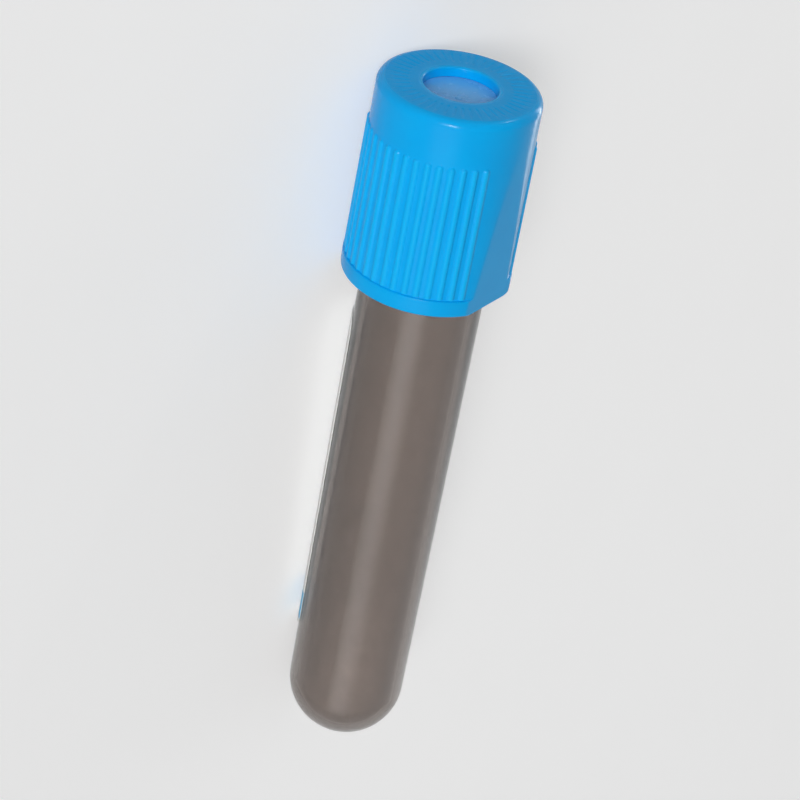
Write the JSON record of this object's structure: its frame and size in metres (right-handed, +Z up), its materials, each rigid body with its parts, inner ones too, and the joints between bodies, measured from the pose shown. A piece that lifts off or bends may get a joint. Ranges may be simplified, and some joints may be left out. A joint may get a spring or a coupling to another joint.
{
  "type": "blood collection tube",
  "caption": "Round-bottomed clear plastic test tube lined by an inner tube and closed by a rubber stopper in a ribbed light blue pull-off cap, lying on its side.",
  "frame": {"origin": "bottom centre of the bounding box of the closed tube as it lies on a surface at z = 0, on its round end and on one flat panel of the shield", "axes": "+X along the tube towards its round end, with the closure at -X, +Z up; the tube's own axis rises towards the closure by 1.48 degrees"},
  "size_m": [0.0822, 0.0176, 0.0167],
  "materials": {
    "clear_tube": "clear polyester, polished",
    "hazy_liner": "hazy translucent polypropylene",
    "stopper_rubber": "smooth moulded butyl rubber",
    "shield_plastic": "glossy moulded plastic",
    "label_paper": "semi-gloss paper with ruled lines",
    "clear_liquid": "clear water-thin solution"
  },
  "bodies": {
    "tube": {"outer_tube": "clear_tube", "inner_tube": "hazy_liner", "label": "label_paper", "citrate_solution": "clear_liquid"},
    "stopper": {"stopper": "stopper_rubber"},
    "shield": {"shield": "shield_plastic"}
  },
  "joints": [
    {"name": "closure_pull", "type": "slide", "parent": "tube", "child": "stopper", "axis": [-0.9997, 0, 0.0259], "range_m": [0, 0.03]},
    {"name": "closure_twist", "type": "hinge", "parent": "stopper", "child": "shield", "pos_m": [-0.02939, 0, 0.00816], "axis": [-0.9997, 0, 0.0259], "continuous": true}
  ]
}
